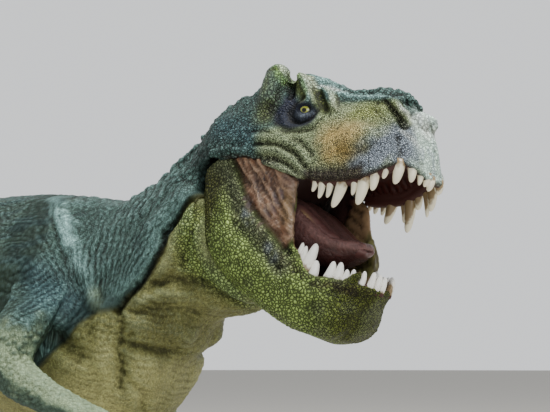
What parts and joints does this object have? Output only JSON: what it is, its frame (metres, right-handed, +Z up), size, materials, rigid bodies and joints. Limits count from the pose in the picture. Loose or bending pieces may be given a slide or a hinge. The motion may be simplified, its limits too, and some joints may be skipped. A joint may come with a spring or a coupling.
{
  "type": "tyrannosaurus figure",
  "caption": "Painted, moulded tyrannosaurus figure standing on two feet, mouth wide open, with a hinged lower jaw.",
  "frame": {"origin": "on the ground under the middle of the figure", "axes": "+X forward along the trunk towards the snout, +Y the animal's left, +Z up"},
  "size_m": [0.322, 0.0838, 0.1459],
  "materials": {
    "body_hide": "painted, satin",
    "jaw_hide": "painted, satin",
    "tail_hide": "painted, satin",
    "arm_hide": "painted, satin",
    "leg_hide": "painted, satin"
  },
  "bodies": {
    "figure": {"body": "body_hide", "tail": "tail_hide", "right_arm": "arm_hide", "left_arm": "arm_hide", "right_leg": "leg_hide", "left_leg": "leg_hide"},
    "jaw": {"lower_jaw": "jaw_hide"}
  },
  "joints": [
    {"name": "jaw_hinge", "type": "hinge", "parent": "figure", "child": "jaw", "pos_m": [0.109, -0.0039, 0.108], "axis": [-0.2148, -0.9739, 0.0729], "range_deg": [0, 25]}
  ]
}
